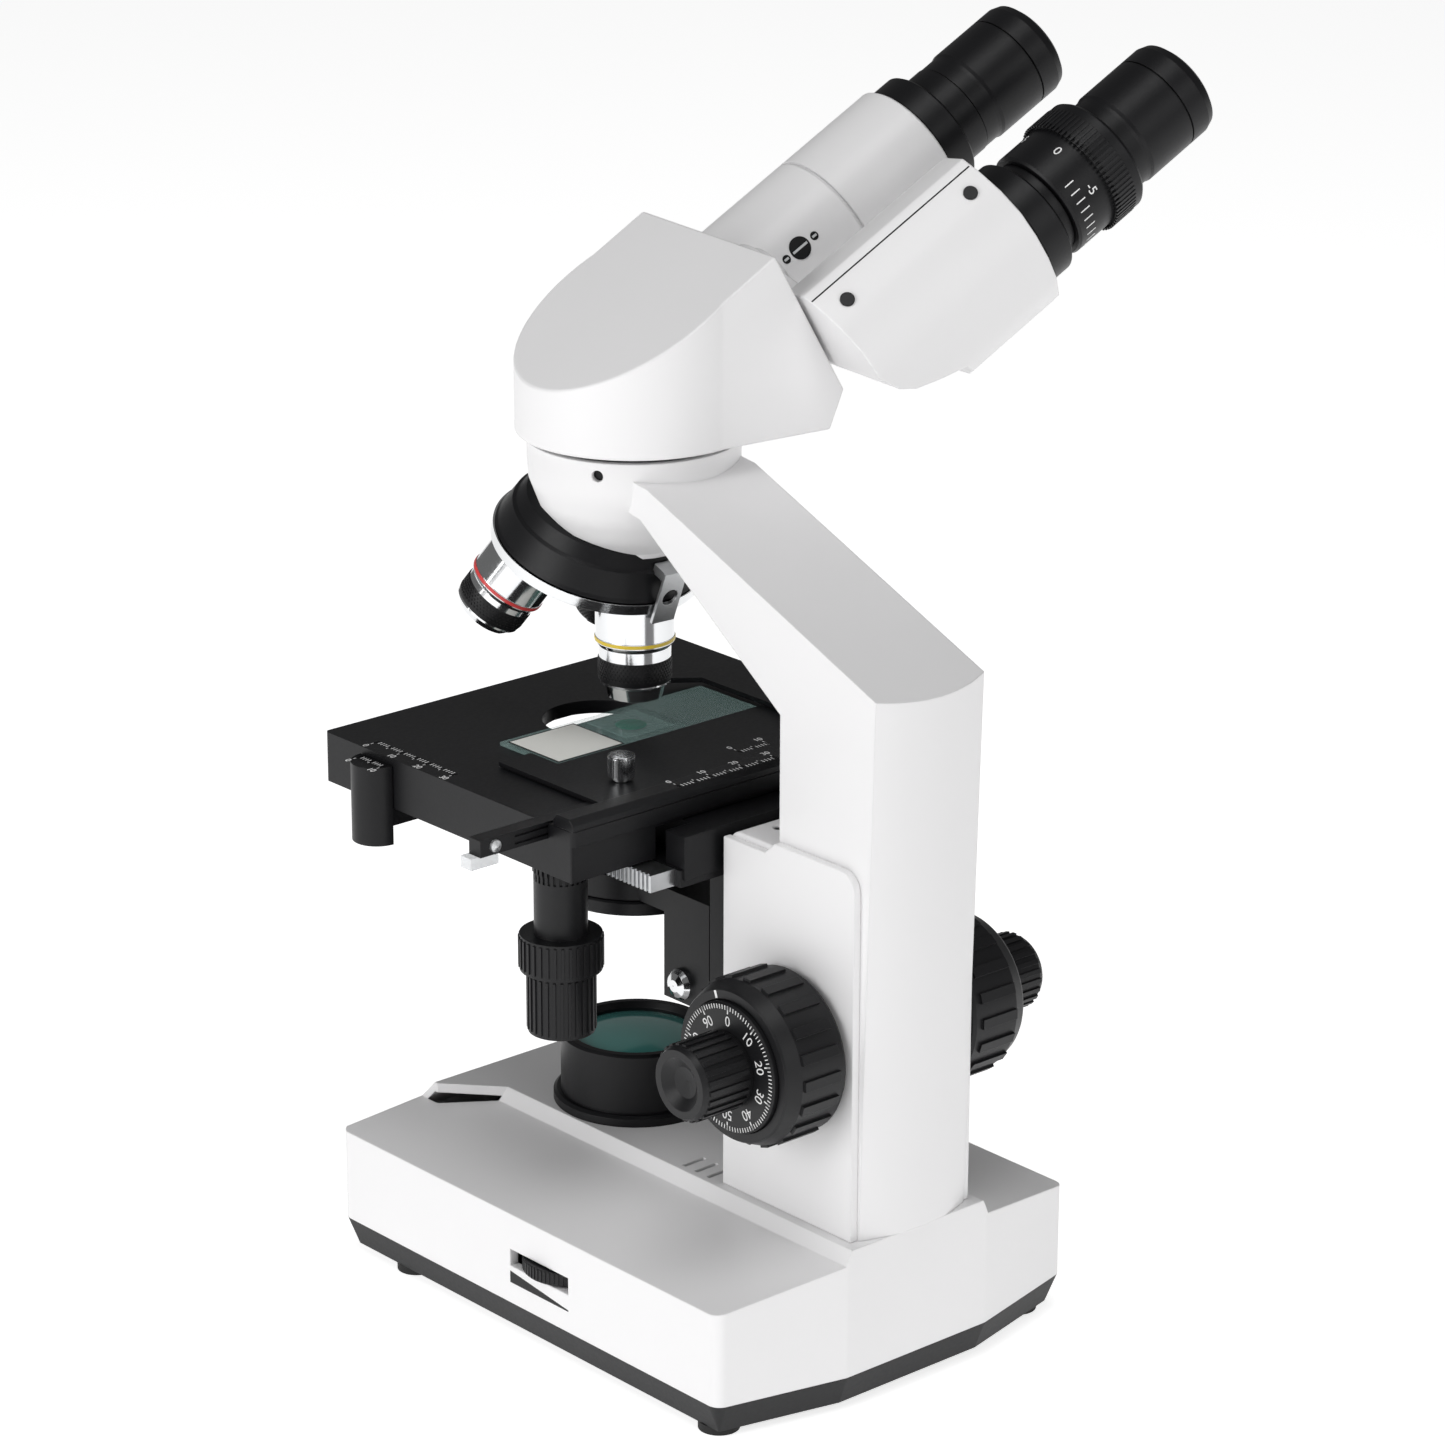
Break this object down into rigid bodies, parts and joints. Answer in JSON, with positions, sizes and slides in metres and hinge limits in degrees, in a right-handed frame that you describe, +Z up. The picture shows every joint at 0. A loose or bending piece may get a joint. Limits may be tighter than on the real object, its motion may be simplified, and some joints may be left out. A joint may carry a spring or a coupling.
{
  "type": "compound microscope",
  "caption": "Binocular compound microscope with tilted head, three-objective turret, mechanical stage, condenser and built-in lamp.",
  "frame": {"origin": "where the optical axis meets the surface that the feet stand on", "axes": "+Z up along the optical axis, +Y from the arm to the open front of the stage, +X towards the eyepieces' side"},
  "size_m": [0.2682, 0.1861, 0.3505],
  "materials": {
    "white_paint": "satin",
    "black_paint": "satin",
    "black_plastic": "matte",
    "steel": "brushed",
    "chrome": "polished",
    "rubber": "matte",
    "lens_glass": "polished",
    "clear_glass": "polished",
    "clear_plastic": "gloss"
  },
  "bodies": {
    "stand": {"base_shell": "white_paint", "base_plate": "black_paint", "base_feet": "rubber", "stand_screws": "steel", "dimmer_body": "black_plastic", "power_inlet": "black_plastic", "lamp_housing": "black_paint", "field_lens": "lens_glass", "led_module": "black_plastic", "arm": "white_paint", "focus_housing": "white_paint", "left_side_cover": "white_paint", "right_side_cover": "white_paint", "nosepiece_body": "black_paint", "index_spring": "steel"},
    "brightness_wheel": {"brightness_wheel": "black_plastic"},
    "carriage": {"focus_column": "black_paint", "focus_rack": "steel", "condenser_bracket": "black_paint", "bracket_screw": "chrome", "stage_base": "black_paint", "y_rack": "steel"},
    "coarse_drive": {"coarse_shaft": "steel", "coarse_knob_left": "black_plastic", "coarse_knob_right": "black_plastic"},
    "fine_drive": {"fine_shaft": "steel", "graduated_dial": "black_plastic", "fine_knob_left": "black_plastic", "fine_knob_right": "black_plastic"},
    "condenser": {"condenser_body": "black_paint", "condenser_lens": "clear_glass"},
    "iris": {"iris_lever": "steel"},
    "y_stage": {"stage_plate": "black_paint", "x_guide": "black_paint"},
    "y_knob": {"y_knob": "black_plastic"},
    "x_knob": {"x_knob": "black_plastic"},
    "x_carriage": {"x_bar": "black_paint", "bar_end": "clear_plastic", "bar_screw": "steel", "holder_plate": "black_paint", "glass_slide": "clear_glass", "cover_glass": "clear_glass"},
    "clip": {"clip_lever": "steel"},
    "thumb_screw": {"thumb_screw": "chrome"},
    "turret": {"turret": "chrome", "objective_10x": "chrome", "objective_4x": "chrome", "objective_40x": "chrome"},
    "head": {"dovetail_ring": "steel", "head_housing": "white_paint", "hinge_tube": "steel"},
    "right_tube": {"right_tube_housing": "white_paint", "tube_screws": "steel", "right_collar": "black_paint", "right_eyepiece": "black_paint"},
    "left_tube": {"left_tube_housing": "white_paint", "cover_screws": "steel", "left_collar": "black_paint"},
    "diopter": {"diopter_ring": "black_paint", "left_eyepiece": "black_paint"}
  },
  "joints": [
    {"name": "brightness_turn", "type": "hinge", "parent": "stand", "child": "brightness_wheel", "pos_m": [-0.0544, -0.0353, 0.0258], "axis": [0, 0, 1], "range_deg": [-135, 135]},
    {"name": "focus_slide", "type": "slide", "parent": "stand", "child": "carriage", "axis": [0, 0, 1], "range_m": [-0.018, 0.001]},
    {"name": "coarse_turn", "type": "hinge", "parent": "stand", "child": "coarse_drive", "pos_m": [0, -0.0935, 0.1017], "axis": [1, 0, 0], "range_deg": [-210, 15]},
    {"name": "fine_turn", "type": "hinge", "parent": "coarse_drive", "child": "fine_drive", "pos_m": [0, -0.0935, 0.1017], "axis": [1, 0, 0], "continuous": true},
    {"name": "condenser_height", "type": "slide", "parent": "carriage", "child": "condenser", "axis": [0, 0, 1], "range_m": [-0.009, 0]},
    {"name": "iris_turn", "type": "hinge", "parent": "condenser", "child": "iris", "pos_m": [0, 0, 0.139], "axis": [0, 0, 1], "range_deg": [-55, 4]},
    {"name": "stage_y", "type": "slide", "parent": "carriage", "child": "y_stage", "axis": [0, 1, 0], "range_m": [-0.01, 0.02]},
    {"name": "stage_x", "type": "slide", "parent": "y_stage", "child": "x_carriage", "axis": [1, 0, 0], "range_m": [-0.015, 0.016]},
    {"name": "y_knob_turn", "type": "hinge", "parent": "y_stage", "child": "y_knob", "pos_m": [-0.053, -0.03, 0.12], "axis": [0, 0, 1], "range_deg": [-170, 90]},
    {"name": "x_knob_turn", "type": "hinge", "parent": "y_stage", "child": "x_knob", "pos_m": [-0.053, -0.03, 0.105], "axis": [0, 0, 1], "range_deg": [-155, 165]},
    {"name": "clip_swing", "type": "hinge", "parent": "x_carriage", "child": "clip", "pos_m": [0.043, -0.015, 0.165], "axis": [0, 0, 1], "range_deg": [-40, 0], "stiffness_Nm_per_rad": 0.02, "springref_deg": 5.73},
    {"name": "thumb_turn", "type": "hinge", "parent": "x_carriage", "child": "thumb_screw", "pos_m": [-0.0315, -0.031, 0.168], "axis": [0, 0, 1], "range_deg": [-180, 180]},
    {"name": "turret_turn", "type": "hinge", "parent": "stand", "child": "turret", "pos_m": [0, 0, 0.2565], "axis": [0, 0.3616, -0.9323], "continuous": true},
    {"name": "head_swivel", "type": "hinge", "parent": "stand", "child": "head", "pos_m": [0, 0, 0.25], "axis": [0, 0, 1], "continuous": true},
    {"name": "right_tube_swing", "type": "hinge", "parent": "head", "child": "right_tube", "pos_m": [0.03711, -0.00423, 0.28603], "axis": [0.8605, -0.098, 0.5], "range_deg": [-17, 10]},
    {"name": "left_tube_swing", "type": "hinge", "parent": "head", "child": "left_tube", "pos_m": [0.03711, -0.00423, 0.28603], "axis": [0.8605, -0.098, 0.5], "range_deg": [-10, 17]},
    {"name": "diopter_turn", "type": "hinge", "parent": "left_tube", "child": "diopter", "pos_m": [0.04262, -0.03978, 0.26957], "axis": [0.8605, -0.098, 0.5], "range_deg": [-90, 90]}
  ],
  "couplings": [
    {"joint": "coarse_turn", "follows": "focus_slide", "rad_per_m": 200},
    {"joint": "y_knob_turn", "follows": "stage_y", "rad_per_m": -126.58},
    {"joint": "x_knob_turn", "follows": "stage_x", "rad_per_m": 175.44},
    {"joint": "left_tube_swing", "follows": "right_tube_swing", "ratio": -1}
  ]
}
